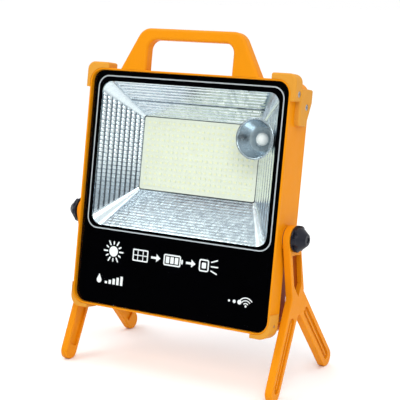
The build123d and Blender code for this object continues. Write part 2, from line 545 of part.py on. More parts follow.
# shallow channels along the arms
def channel(p, q, w, t0, t1):
    a = (p[0] + (q[0] - p[0]) * t0, p[1] + (q[1] - p[1]) * t0)
    b = (p[0] + (q[0] - p[0]) * t1, p[1] + (q[1] - p[1]) * t1)
    c = extrude(yz_plane(LEG_X1 + 1) * Polygon(*taper_bar(a, b, w, w * 0.86), align=None), amount=2.6, dir=(-1, 0, 0))
    c += extrude(yz_plane(LEG_X1 + 1) * (Pos(*a) * Circle(w / 2)), amount=2.6, dir=(-1, 0, 0))
    c += extrude(yz_plane(LEG_X1 + 1) * (Pos(*b) * Circle(w * 0.43)), amount=2.6, dir=(-1, 0, 0))
    return c


leg -= channel(FORK, FOOT_F, 10.0, 0.30, 0.97)
leg -= channel(FORK, FOOT_R, 9.6, 0.26, 0.97)
# matching hollows on the inner face
def inner_channel(p, q, w, t0, t1):
    a = (p[0] + (q[0] - p[0]) * t0, p[1] + (q[1] - p[1]) * t0)
    b = (p[0] + (q[0] - p[0]) * t1, p[1] + (q[1] - p[1]) * t1)
    return extrude(yz_plane(LEG_X0 - 1) * Polygon(*taper_bar(a, b, w, w * 0.9), align=None), amount=3.2, dir=(1, 0, 0))


leg -= inner_channel(FORK, FOOT_F, 12.0, 0.26, 0.94)
leg -= inner_channel(FORK, FOOT_R, 11.4, 0.24, 0.94)
# raised rib down the middle of each arm's channel
for p, q, t0, t1 in ((FORK, FOOT_F, 0.30, 0.97), (FORK, FOOT_R, 0.26, 0.97)):
    a = (p[0] + (q[0] - p[0]) * t0, p[1] + (q[1] - p[1]) * t0)
    b = (p[0] + (q[0] - p[0]) * t1, p[1] + (q[1] - p[1]) * t1)
    leg += extrude(yz_plane(LEG_X1 - 2.0) * Polygon(*taper_bar(a, b, 1.8, 1.8), align=None), amount=1.5, dir=(1, 0, 0))
# boss seat round the pivot
leg -= cyl_x(0, PIVOT_Z, LEG_X0 - 1, LEG_X1 + 2, 3.3)
leg = one(leg)
save("right_leg", leg, GROUND)
save("left_leg", leg.mirror(Plane.YZ), GROUND)

# ---------------------------------------------------------------- clamp knobs (drawn on the +X side, pivot axis = X)
def make_knob(turn):
    k = Pos(KNOB_X0 + 4.4, 0, 0) * Rot(0, 90, 0) * (Pos(0, 0, (KNOB_H - 4.4) / 2) * Cone(11.4, 5.4, KNOB_H - 4.4))
    k += cyl_x(0, 0, KNOB_X0, KNOB_X0 + 4.4, KNOB_R)
    n = 6
    for i in range(n):
        a = math.radians(turn + 360.0 / n * (i + 0.5))
        rr = KNOB_R + 3.0
        k -= cyl_x(rr * math.cos(a), rr * math.sin(a), KNOB_X0 + 1.4, KNOB_X0 + KNOB_H + 2, 5.2)
    k = Solid(k.solids().sort_by(SortBy.VOLUME)[-1].wrapped)
    es = [e for e in k.edges() if e.center().X > KNOB_X0 + 2.0]
    k = try_fillet(k, es, [1.0, 0.8, 0.6, 0.4], "knob")
    k -= cyl_x(0, 0, KNOB_X0 + KNOB_H - 0.8, KNOB_X0 + KNOB_H + 2, 2.8)
    k -= cyl_x(0, 0, KNOB_X0 - 1, KNOB_X0 + 7.5, STUD_R)
    return one(k)


stud = cyl_x(0, 0, 101.5, KNOB_X0 + 7.5, STUD_R)
stud = one(stud)
wsh = one(cyl_x(0, 0, LEG_X1 + 0.05, LEG_X1 + 0.05 + WASHER_T, 9.0) - cyl_x(0, 0, LEG_X1 - 1, LEG_X1 + 3, STUD_HOLE + 0.02))
knob = make_knob(10.0)
save("right_knob", knob, BODY)
save("right_stud", stud, BODY)
save("right_washer", wsh, BODY)
save("left_knob", knob.mirror(Plane.YZ), BODY)
save("left_stud", stud.mirror(Plane.YZ), BODY)
save("left_washer", wsh.mirror(Plane.YZ), BODY)

bb = Compound(children=[c for c in NODES.values()]).bounding_box()
print("nodes", len(NODES), "box", bb)
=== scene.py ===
import bpy
import math
import random
from mathutils import Vector, Matrix


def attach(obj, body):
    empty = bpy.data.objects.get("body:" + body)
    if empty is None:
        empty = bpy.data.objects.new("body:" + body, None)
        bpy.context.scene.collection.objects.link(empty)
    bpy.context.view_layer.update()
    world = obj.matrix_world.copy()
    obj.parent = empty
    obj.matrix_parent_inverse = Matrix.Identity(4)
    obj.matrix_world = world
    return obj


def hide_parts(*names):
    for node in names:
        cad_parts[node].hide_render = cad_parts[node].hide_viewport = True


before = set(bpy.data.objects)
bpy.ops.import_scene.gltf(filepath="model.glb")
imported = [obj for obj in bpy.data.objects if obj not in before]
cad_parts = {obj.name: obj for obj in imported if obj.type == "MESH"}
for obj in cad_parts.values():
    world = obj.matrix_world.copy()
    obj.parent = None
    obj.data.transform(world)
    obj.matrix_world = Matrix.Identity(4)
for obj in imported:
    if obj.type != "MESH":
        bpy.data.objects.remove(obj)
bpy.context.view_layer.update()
random.seed(7)
scene = bpy.context.scene
scene.view_settings.view_transform = "Standard"
scene.view_settings.look = "None"
scene.view_settings.exposure = 0.0
scene.view_settings.gamma = 1.0

# ------------------------------------------------------------ body frame to row frame, millimetres in, metres out
CC, SS = math.cos(math.radians(10.308)), math.sin(math.radians(10.308))


def B(x, y, z):
    return (x / 1000.0, (y * CC + z * SS - 21.25) / 1000.0, (-y * SS + z * CC + 148.94) / 1000.0)


# ------------------------------------------------------------ materials
def lin(c):
    out = []
    for v in c:
        v = v / 255.0
        out.append(v / 12.92 if v <= 0.04045 else ((v + 0.055) / 1.055) ** 2.4)
    return tuple(out) + (1.0,)


def new_mat(name):
    m = bpy.data.materials.new(name)
    m.use_nodes = True
    nt = m.node_tree
    bsdf = nt.nodes["Principled BSDF"]
    return m, nt, bsdf


def coords(nt, scale=(1, 1, 1), rot=(0, 0, 0)):
    tc = nt.nodes.new("ShaderNodeTexCoord")
    mp = nt.nodes.new("ShaderNodeMapping")
    mp.inputs["Scale"].default_value = scale
    mp.inputs["Rotation"].default_value = rot
    nt.links.new(tc.outputs["Object"], mp.inputs["Vector"])
    return mp.outputs["Vector"]


def noise(nt, vec, scale, detail=3.0, rough=0.5):
    n = nt.nodes.new("ShaderNodeTexNoise")
    n.inputs["Scale"].default_value = scale
    n.inputs["Detail"].default_value = detail
    n.inputs["Roughness"].default_value = rough
    nt.links.new(vec, n.inputs["Vector"])
    return n.outputs["Fac"]


def ramp(nt, fac, stops):
    r = nt.nodes.new("ShaderNodeValToRGB")
    e = r.color_ramp.elements
    e[0].position, e[0].color = stops[0][0], stops[0][1]
    e[1].position, e[1].color = stops[-1][0], stops[-1][1]
    for p, c in stops[1:-1]:
        n = e.new(p)
        n.color = c
    nt.links.new(fac, r.inputs["Fac"])
    return r.outputs["Color"]


def remap(nt, fac, a, b, lo=0.3, hi=0.7):
    m = nt.nodes.new("ShaderNodeMapRange")
    m.inputs["From Min"].default_value = lo
    m.inputs["From Max"].default_value = hi
    m.inputs["To Min"].default_value = a
    m.inputs["To Max"].default_value = b
    nt.links.new(fac, m.inputs["Value"])
    return m.outputs["Result"]


def bump(nt, bsdf, height, strength, dist):
    b = nt.nodes.new("ShaderNodeBump")
    b.inputs["Strength"].default_value = strength
    b.inputs["Distance"].default_value = dist
    nt.links.new(height, b.inputs["Height"])
    nt.links.new(b.outputs["Normal"], bsdf.inputs["Normal"])


def shade(c, k):
    return (c[0] * k, c[1] * k, c[2] * k, 1.0)


def plastic(name, rgb, rough=0.42, grain=1400.0, grain_strength=0.12, spread=0.10, specular=0.45, coat=0.0):
    m, nt, bs = new_mat(name)
    c = lin(rgb)
    v = coords(nt)
    big = noise(nt, v, 14.0, 4.0, 0.6)
    nt.links.new(ramp(nt, big, [(0.25, shade(c, 1.0 - spread)), (0.5, c), (0.8, shade(c, 1.0 + spread * 0.6))]), bs.inputs["Base Color"])
    fine = noise(nt, v, grain, 2.0, 0.6)
    nt.links.new(remap(nt, noise(nt, v, 90.0, 3.0), rough - 0.05, rough + 0.07), bs.inputs["Roughness"])
    bs.inputs["Specular IOR Level"].default_value = specular
    bs.inputs["Coat Weight"].default_value = coat
    bs.inputs["Coat Roughness"].default_value = 0.25
    bump(nt, bs, fine, grain_strength, 0.00008)
    return m


def metal(name, rgb, rough=0.3, stretch=(1, 1, 1), scale=700.0, strength=0.15, spread=0.12):
    m, nt, bs = new_mat(name)
    c = lin(rgb)
    v = coords(nt, stretch)
    n = noise(nt, v, scale, 3.0, 0.6)
    nt.links.new(ramp(nt, n, [(0.3, shade(c, 1.0 - spread)), (0.7, c)]), bs.inputs["Base Color"])
    bs.inputs["Metallic"].default_value = 1.0
    nt.links.new(remap(nt, n, rough - 0.06, rough + 0.10), bs.inputs["Roughness"])
    bump(nt, bs, n, strength, 0.00004)
    return m


def pane(name, tint, rough, mirror_rough=0.015, scale=60.0):
    m = bpy.data.materials.new(name)
    m.use_nodes = True
    nt = m.node_tree
    nt.nodes.clear()
    out = nt.nodes.new("ShaderNodeOutputMaterial")
    mix = nt.nodes.new("ShaderNodeMixShader")
    lw = nt.nodes.new("ShaderNodeLayerWeight")
    lw.inputs["Blend"].default_value = 0.5
    pw = nt.nodes.new("ShaderNodeMath")
    pw.operation = "POWER"
    pw.inputs[1].default_value = 5.0
    nt.links.new(lw.outputs["Facing"], pw.inputs[0])
    tr = nt.nodes.new("ShaderNodeBsdfTransparent")
    tr.inputs["Color"].default_value = tint
    gl = nt.nodes.new("ShaderNodeBsdfGlossy")
    gl.inputs["Color"].default_value = (1, 1, 1, 1)
    v = coords(nt)
    nt.links.new(remap(nt, noise(nt, v, scale, 2.0), mirror_rough, mirror_rough + rough), gl.inputs["Roughness"])
    nt.links.new(remap(nt, pw.outputs["Value"], 0.03, 1.0, 0.0, 1.0), mix.inputs["Fac"])
    nt.links.new(tr.outputs["BSDF"], mix.inputs[1])
    nt.links.new(gl.outputs["BSDF"], mix.inputs[2])
    nt.links.new(mix.outputs["Shader"], out.inputs["Surface"])
    return m


AMBER = (219, 135, 1)
M = {}
M["amber_shell"] = plastic("amber_shell", AMBER, 0.48, 1500.0, 0.16, 0.06, 0.12)
M["amber_guard"] = plastic("amber_guard", (206, 142, 46), 0.55, 1100.0, 0.34, 0.12, 0.15)
M["amber_leg"] = plastic("amber_leg", (222, 136, 4), 0.48, 1500.0, 0.16, 0.07, 0.12)


def paint_recess_shade(mat, axis_stops, tint, zlo=None, zhi=None, faces=False):
    """Paints shade into a plastic's colour where |x| lies between the two stops (metres), and optionally only between
    two heights: a darker band standing in for the shade in a recess.
    """
    nt = mat.node_tree
    bs = nt.nodes["Principled BSDF"]
    src = bs.inputs["Base Color"].links[0].from_socket
    tc = nt.nodes.new("ShaderNodeTexCoord")
    sp = nt.nodes.new("ShaderNodeSeparateXYZ")
    nt.links.new(tc.outputs["Object"], sp.inputs["Vector"])
    ab = nt.nodes.new("ShaderNodeMath")
    ab.operation = "ABSOLUTE"
    nt.links.new(sp.outputs["X"], ab.inputs[0])
    fac = remap(nt, ab.outputs["Value"], 1.0, 0.0, axis_stops[0], axis_stops[1])
    if faces:
        sn = nt.nodes.new("ShaderNodeSeparateXYZ")
        nt.links.new(tc.outputs["Normal"], sn.inputs["Vector"])
        an = nt.nodes.new("ShaderNodeMath")
        an.operation = "ABSOLUTE"
        nt.links.new(sn.outputs["X"], an.inputs[0])
        for val in (remap(nt, an.outputs["Value"], 0.0, 1.0, 0.6, 0.95), remap(nt, ab.outputs["Value"], 0.0, 1.0, 0.1158, 0.1161)):
            mu = nt.nodes.new("ShaderNodeMath")
            mu.operation = "MULTIPLY"
            nt.links.new(fac, mu.inputs[0])
            nt.links.new(val, mu.inputs[1])
            fac = mu.outputs["Value"]
    if zlo is not None:
        for a, b in ((zlo, zlo + 0.001), (zhi + 0.001, zhi)):
            mu = nt.nodes.new("ShaderNodeMath")
            mu.operation = "MULTIPLY"
            nt.links.new(fac, mu.inputs[0])
            lo, hi = (a, b) if a < b else (b, a)
            t0, t1 = (0.0, 1.0) if a < b else (1.0, 0.0)
            nt.links.new(remap(nt, sp.outputs["Z"], t0, t1, lo, hi), mu.inputs[1])
            fac = mu.outputs["Value"]
    # painted shade: multiplies the base colour by the tint inside the mask
    mx = nt.nodes.new("ShaderNodeMix")
    mx.data_type = "RGBA"
    mx.blend_type = "MULTIPLY"
    nt.links.new(fac, mx.inputs["Factor"])
    nt.links.new(src, mx.inputs[6])
    mx.inputs[7].default_value = tint
    nt.links.new(mx.outputs[2], bs.inputs["Base Color"])


# painted shade: darkens the recess floor on the legs' outer faces, on faces turned to ±x only
paint_recess_shade(M["amber_leg"], (0.1166, 0.1206), (0.40, 0.20, 0.08, 1), faces=True)
M["amber_back"] = plastic("amber_back", AMBER, 0.48, 1500.0, 0.16, 0.06, 0.12)
# painted shade: darkens the rear shell's side pockets beside the legs, between two heights, where the gap lies in shade
paint_recess_shade(M["amber_back"], (0.1034, 0.1112), (0.40, 0.16, 0.06, 1), 0.0655, 0.1335)
M["clear_glass"] = pane("clear_glass", (0.985, 0.995, 0.99, 1), 0.01)
M["seal_rubber"] = plastic("seal_rubber", (22, 22, 24), 0.75, 900.0, 0.3, 0.2, 0.3)
M["print_black"] = plastic("print_black", (1, 1, 2), 0.75, 2500.0, 0.03, 0.2, 0.0)
M["print_silver"] = plastic("print_silver", (244, 246, 248), 0.45, 2500.0, 0.05, 0.05, 0.4)
M["print_grey"] = plastic("print_grey", (186, 192, 198), 0.45, 2500.0, 0.05, 0.06, 0.4)
M["cup_chrome"] = metal("cup_chrome", (186, 198, 206), 0.20, (1, 1, 1), 260.0, 0.05, 0.08)
M["sensor_dark"] = plastic("sensor_dark", (24, 34, 40), 0.16, 500.0, 0.03, 0.2, 0.6)
M["sensor_black"] = plastic("sensor_black", (18, 18, 20), 0.6, 900.0, 0.2)
M["heat_aluminium"] = metal("heat_aluminium", (196, 198, 202), 0.38, (1, 1, 14), 260.0, 0.2)
M["screw_steel"] = metal("screw_steel", (176, 178, 184), 0.30, (1, 1, 1), 900.0, 0.2)
M["washer_steel"] = metal("washer_steel", (192, 194, 198), 0.30, (14, 1, 1), 240.0, 0.2)
M["insert_brass"] = metal("insert_brass", (205, 168, 84), 0.30, (1, 1, 1), 700.0, 0.2)
M["socket_steel"] = metal("socket_steel", (198, 200, 204), 0.26, (1, 1, 8), 500.0, 0.1)
M["socket_black"] = plastic("socket_black", (16, 16, 18), 0.5, 900.0, 0.15)
M["holder_black"] = plastic("holder_black", (26, 26, 28), 0.55, 900.0, 0.25)
M["pad_nylon"] = plastic("pad_nylon", (58, 58, 60), 0.5, 900.0, 0.2)
M["knob_black"] = plastic("knob_black", (11, 14, 28), 0.40, 1200.0, 0.35, 0.15, 0.28)
M["button_rubber"] = plastic("button_rubber", (36, 37, 41), 0.62, 1300.0, 0.4, 0.12, 0.35)
M["flap_rubber"] = plastic("flap_rubber", (40, 40, 43), 0.66, 1300.0, 0.45, 0.12, 0.35)
M["lens_milky"] = plastic("lens_milky", (250, 252, 250), 0.35, 900.0, 0.1, 0.04, 0.5)
M["panel_board"] = plastic("panel_board", (214, 217, 218), 0.5, 900.0, 0.1, 0.05)
M["panel_glass"] = pane("panel_glass", (0.97, 0.985, 1.0, 1), 0.09, 0.06, 500.0)
M["board_white"] = plastic("board_white", (234, 238, 222), 0.42, 900.0, 0.06, 0.03, 0.5)
M["chip_frame"] = plastic("chip_frame", (234, 240, 222), 0.4, 1800.0, 0.05, 0.03, 0.5)


def reflector_mat():
    m, nt, bs = new_mat("reflector_silver")
    v = coords(nt)
    n = noise(nt, v, 420.0, 4.0, 0.65)
    at = nt.nodes.new("ShaderNodeAttribute")
    at.attribute_name = "painted_light"
    # painted light and shade: the painted_light attribute picks a base from dark to bright, setting each wall's lit or
    # shaded brightness and the shade in its valleys
    base = ramp(nt, at.outputs["Fac"], [(0.0, lin((34, 40, 46))), (0.45, lin((150, 162, 172))), (0.8, lin((220, 230, 237))), (1.0, lin((246, 250, 253)))])
    mx = nt.nodes.new("ShaderNodeMix")
    mx.data_type = "RGBA"
    mx.blend_type = "MULTIPLY"
    mx.inputs["Factor"].default_value = 1.0
    nt.links.new(base, mx.inputs[6])
    nt.links.new(ramp(nt, n, [(0.25, (0.86, 0.88, 0.90, 1)), (0.75, (1, 1, 1, 1))]), mx.inputs[7])
    nt.links.new(mx.outputs[2], bs.inputs["Base Color"])
    # painted light: where the painted_light value runs above 1 the metal is made less metallic so the wall reads
    # brighter
    painted_light_satin = nt.nodes.new("ShaderNodeMapRange")
    painted_light_satin.inputs["From Min"].default_value = 1.0
    painted_light_satin.inputs["From Max"].default_value = 1.25
    painted_light_satin.inputs["To Min"].default_value = 1.0
    painted_light_satin.inputs["To Max"].default_value = 0.15
    nt.links.new(at.outputs["Fac"], painted_light_satin.inputs["Value"])
    nt.links.new(painted_light_satin.outputs["Result"], bs.inputs["Metallic"])
    nt.links.new(remap(nt, noise(nt, v, 160.0, 3.0), 0.10, 0.22), bs.inputs["Roughness"])
    bump(nt, bs, n, 0.25, 0.00006)
    return m


M["reflector_silver"] = reflector_mat()


def phosphor_mat():
    m, nt, bs = new_mat("led_phosphor")
    v = coords(nt)
    n = noise(nt, v, 900.0, 2.0)
    nt.links.new(ramp(nt, n, [(0.3, lin((238, 236, 192))), (0.7, lin((246, 244, 206)))]), bs.inputs["Base Color"])
    nt.links.new(remap(nt, noise(nt, v, 1500.0, 2.0), 0.28, 0.42), bs.inputs["Roughness"])
    bs.inputs["Specular IOR Level"].default_value = 0.5
    bump(nt, bs, n, 0.15, 0.00004)
    return m


M["led_phosphor"] = phosphor_mat()


def cell_mat():
    m, nt, bs = new_mat("cell_silicon")
    v = coords(nt, (1, 1, 1))
    vo = nt.nodes.new("ShaderNodeTexVoronoi")
    vo.inputs["Scale"].default_value = 130.0
    nt.links.new(v, vo.inputs["Vector"])
    nt.links.new(ramp(nt, vo.outputs["Color"], [(0.1, lin((16, 22, 58))), (0.5, lin((24, 36, 88))), (0.9, lin((34, 52, 118)))]), bs.inputs["Base Color"])
    nt.links.new(remap(nt, noise(nt, v, 300.0), 0.18, 0.34), bs.inputs["Roughness"])
    bs.inputs["Specular IOR Level"].default_value = 0.7
    return m


M["cell_silicon"] = cell_mat()


def wrap_mat():
    m, nt, bs = new_mat("cell_wrap")
    v = coords(nt)
    w = nt.nodes.new("ShaderNodeTexWave")
    w.wave_type = "BANDS"
    w.bands_direction = "X"
    w.inputs["Scale"].default_value = 14.0
    w.inputs["Distortion"].default_value = 0.0
    nt.links.new(v, w.inputs["Vector"])
    nt.links.new(ramp(nt, w.outputs["Fac"], [(0.0, lin((30, 84, 160))), (0.9, lin((42, 104, 186))), (1.0, lin((220, 226, 232)))]), bs.inputs["Base Color"])
    nt.links.new(remap(nt, noise(nt, v, 200.0), 0.28, 0.4), bs.inputs["Roughness"])
    bump(nt, bs, noise(nt, v, 500.0), 0.1, 0.00005)
    return m


M["cell_wrap"] = wrap_mat()


def board_mat():
    m, nt, bs = new_mat("board_green")
    v = coords(nt)
    br = nt.nodes.new("ShaderNodeTexBrick")
    br.inputs["Scale"].default_value = 160.0
    br.inputs["Mortar Size"].default_value = 0.05
    br.inputs["Color1"].default_value = lin((18, 92, 52))
    br.inputs["Color2"].default_value = lin((24, 108, 60))
    br.inputs["Mortar"].default_value = lin((52, 142, 86))
    rot = nt.nodes.new("ShaderNodeMapping")
    rot.inputs["Rotation"].default_value = (math.radians(90), 0, 0)
    nt.links.new(v, rot.inputs["Vector"])
    nt.links.new(rot.outputs["Vector"], br.inputs["Vector"])
    nt.links.new(br.outputs["Color"], bs.inputs["Base Color"])
    nt.links.new(remap(nt, noise(nt, v, 400.0), 0.3, 0.45), bs.inputs["Roughness"])
    bump(nt, bs, br.outputs["Fac"], 0.2, 0.00003)
    return m


M["board_green"] = board_mat()
M["copper_red"] = plastic("wire_red", (176, 26, 22), 0.45, 900.0, 0.1)
M["wire_black"] = plastic("wire_black", (24, 24, 26), 0.45, 900.0, 0.1)

CAD_LOOK = {
    "front_frame": "amber_shell", "rear_shell": "amber_back", "carry_handle": "amber_shell",
    "guard_top_left": "amber_guard", "guard_top_right": "amber_guard",
    "guard_bottom_left": "amber_guard", "guard_bottom_right": "amber_guard",
    "front_glass": "clear_glass", "glass_gasket": "seal_rubber", "case_seal": "seal_rubber",
    "handle_screws": "screw_steel", "guard_screws": "screw_steel", "reflector": "reflector_silver",
    "sensor_cup": "cup_chrome", "sensor_lens": "lens_milky", "sensor_module": "sensor_black",
    "reflector_screws": "screw_steel", "led_board": "board_white", "led_chips": "led_phosphor",
    "heat_plate": "heat_aluminium", "plate_screws": "screw_steel", "battery_holder": "holder_black",
    "battery_cells": "cell_wrap", "control_board": "board_green", "board_screws": "screw_steel",
    "tact_switch": "socket_black", "usb_socket": "socket_steel", "dc_socket": "socket_black",
    "charge_lens": "lens_milky", "panel_back": "panel_board", "solar_cells": "cell_silicon",
    "panel_glass": "panel_glass", "power_button": "button_rubber", "port_flap": "flap_rubber",
    "flap_hinge_lugs": "flap_rubber", "case_screws": "screw_steel", "pivot_inserts": "insert_brass",
    "pivot_pads": "pad_nylon", "right_leg": "amber_leg", "left_leg": "amber_leg",
    "right_knob": "knob_black", "left_knob": "knob_black", "right_stud": "screw_steel",
    "left_stud": "screw_steel", "right_washer": "washer_steel", "left_washer": "washer_steel",
}
for node, look in CAD_LOOK.items():
    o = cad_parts[node]
    o.data.materials.clear()
    o.data.materials.append(M[look])


# ------------------------------------------------------------ mesh helpers (body frame millimetres)
def piece(name, verts, faces, body, looks, mat_index=None, sharp=32.0, raw=False):
    me = bpy.data.meshes.new(name)
    me.from_pydata([v if raw else B(*v) for v in verts], [], faces)
    me.validate()
    for l in looks:
        me.materials.append(M[l])
    if mat_index:
        me.polygons.foreach_set("material_index", mat_index)
    me.shade_smooth()
    me.set_sharp_from_angle(angle=math.radians(sharp))
    me.update()
    ob = bpy.data.objects.new(name, me)
    scene.collection.objects.link(ob)
    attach(ob, body)
    return ob


def rounded(x0, x1, z0, z1, r, nx, nz, nc):
    """A rounded rectangle as (x, z, nx, nz, wall, share along the wall), counter-clockwise seen from the front."""
    out = []

    def side(ax, az, bx, bz, n, no, w):
        for i in range(n):
            t = (i + 0.5) / n
            out.append((ax + (bx - ax) * t, az + (bz - az) * t, no[0], no[1], w, t))

    def corner(cx, cz, a0):
        for i in range(nc):
            a = math.radians(a0 + 90.0 * (i + 0.5) / nc)
            out.append((cx + r * math.cos(a), cz + r * math.sin(a), math.cos(a), math.sin(a), "c", 0.5))

    side(x0 + r, z0, x1 - r, z0, nx, (0, -1), "b")
    corner(x1 - r, z0 + r, 270)
    side(x1, z0 + r, x1, z1 - r, nz, (1, 0), "r")
    corner(x1 - r, z1 - r, 0)
    side(x1 - r, z1, x0 + r, z1, nx, (0, 1), "t")
    corner(x0 + r, z1 - r, 90)
    side(x0, z1 - r, x0, z0 + r, nz, (-1, 0), "l")
    corner(x0 + r, z0 + r, 180)
    return out


class Shape:
    """Collects the vertices and faces of one piece."""

    def __init__(self):
        self.v, self.f, self.m = [], [], []

    def add(self, verts, faces, mat=0):
        k = len(self.v)
        self.v += verts
        self.f += [tuple(i + k for i in f) for f in faces]
        self.m += [mat] * len(faces)

    def ring(self, outer, inner, y0, y1, mat=0):
        """A flat ring between two loops of (x, z) with equal counts, from y0 (front) to y1 (back)."""
        n = len(outer)
        v = [(p[0], y0, p[1]) for p in outer] + [(p[0], y0, p[1]) for p in inner] + \
            [(p[0], y1, p[1]) for p in outer] + [(p[0], y1, p[1]) for p in inner]
        f = []
        for i in range(n):
            j = (i + 1) % n
            f += [(i, j, n + j, n + i), (2 * n + i, 3 * n + i, 3 * n + j, 2 * n + j),
                  (i, 2 * n + i, 2 * n + j, j), (n + i, n + j, 3 * n + j, 3 * n + i)]
        self.add(v, f, mat)

    def prism(self, poly, y0, y1, mat=0):
        n = len(poly)
        v = [(p[0], y0, p[1]) for p in poly] + [(p[0], y1, p[1]) for p in poly]
        f = [tuple(range(n)), tuple(range(2 * n - 1, n - 1, -1))]
        for i in range(n):
            j = (i + 1) % n
            f.append((i, n + i, n + j, j))
        self.add(v, f, mat)

    def lathe_y(self, cx, cz, prof, n=96, mat=0, close=True):
        """Turns a profile of (radius, y) about the line x=cx, z=cz."""
        k = len(prof)
        v = []
        for i in range(n):
            a = 2 * math.pi * i / n
            for r, y in prof:
                v.append((cx + r * math.cos(a), y, cz + r * math.sin(a)))
        f = []
        for i in range(n):
            j = (i + 1) % n
            for p in range(k if close else k - 1):
                q = (p + 1) % k
                f.append((i * k + p, i * k + q, j * k + q, j * k + p))
        self.add(v, f, mat)


def loop(x0, x1, z0, z1, r, nx=2, nz=2, nc=8):
    return [(p[0], p[1]) for p in rounded(x0, x1, z0, z1, r, nx, nz, nc)]


def circle(cx, cz, r, n=48, a0=0.0, a1=360.0, ends=False):
    m = n + 1 if ends else n
    return [(cx + r * math.cos(math.radians(a0 + (a1 - a0) * i / n)), cz + r * math.sin(math.radians(a0 + (a1 - a0) * i / n))) for i in range(m)]


def bar(ax, az, bx, bz, w, n=6):
    """A bar with round ends, as a polygon."""
    a = math.degrees(math.atan2(bz - az, bx - ax))
    return circle(bx, bz, w / 2, n, a - 90, a + 90, True) + circle(ax, az, w / 2, n, a + 90, a + 270, True)


# ------------------------------------------------------------ reflector: ribbed, beaded walls on a thin shell
WIN = (-99.0, 99.0, -11.0, 133.0, 11.0)
LED = (-66.0, 66.0, 28.0, 101.0, 2.0)
RY0, RY1 = -14.2, 17.2
RIBS, PER = 9, 8
NX, NZ, NC = 190, 150, 9
CUP = (76.5, 89.0)


def smooth(a, b, x):
    t = max(0.0, min(1.0, (x - a) / (b - a)))
    return t * t * (3 - 2 * t)


def relief(wall, t, x, z, rnd):
    """(how far the wall bulges to the inside in mm, painted light and shade on the metal from 0 dark to 1 bright)."""
    if wall == "c":
        # painted light: corners painted brighter towards +x
        return 0.0, 0.86 + 0.36 * smooth(55, 75, x)
    g = lambda p: 1 - (2 * (p % 1.0) - 1) ** 2
    ends = smooth(0, 3, z + 11) * smooth(0, 3, 133 - z)
    if wall == "l":
        s = t * RIBS
        w = smooth(10, 70, z)
        u = rnd(int(s), int(z // 4.1))
        bead = g(z / 4.1 + 0.22 * u)
        body = g(s)
        h = ends * (0.42 + 0.20 * w) * body * (1.0 - w * 0.6 + w * 0.6 * bead)
        # painted shade: left wall darker in the valleys between ribs and beads, and darker towards its lower part
        painted_light = 0.10 + 0.95 * min(1.0, 1.5 * body) * (1.0 - w * 0.75 + w * 0.75 * min(1.0, 1.5 * bead)) - 0.46 * (1 - w)
        return h, painted_light
    if wall == "r":
        s = t * 7
        # painted light: the right wall painted brightest, above 1
        return 0.45 * g(s) * ends, 1.18 + 0.10 * g(s)
    if wall == "t":
        right = smooth(-20, 50, x)
        s = t * 8
        u = rnd(int(s) + 40, int((x + 120) // 3.2))
        b = g(x / 3.2 + 0.5 * u)
        step = 0.55 * smooth(0.50, 0.53, t)
        # painted shade: top wall darker along a seam band at mid depth and between ribs towards the right, with random
        # variation per bead
        painted_light = 0.98 - 0.26 * (0.4 + 0.6 * right) * u - 0.12 * right * (1 - g(s)) - 0.50 * (smooth(0.485, 0.50, t) - smooth(0.53, 0.545, t))
        f = (t * 12) % 1.0
        return 0.3 * step + 0.85 * (1 - f) * (0.72 + 0.28 * b) * smooth(0.0, 0.06, 1 - t) * (0.55 + 0.45 * right), painted_light
    s = t * 15
    u = rnd(int(s) + 90, int((x + 120) // 2.9))
    b = g(x / 2.9 + 0.6 * u)
    # painted shade: bottom wall painted darker overall, lighter on rib crests, with random variation
    return 0.075 * g(s) * (0.25 + 0.75 * b), 0.58 + 0.14 * u + 0.07 * g(s)


table = {}


def rnd(a, b):
    if (a, b) not in table:
        table[(a, b)] = random.random()
    return table[(a, b)]


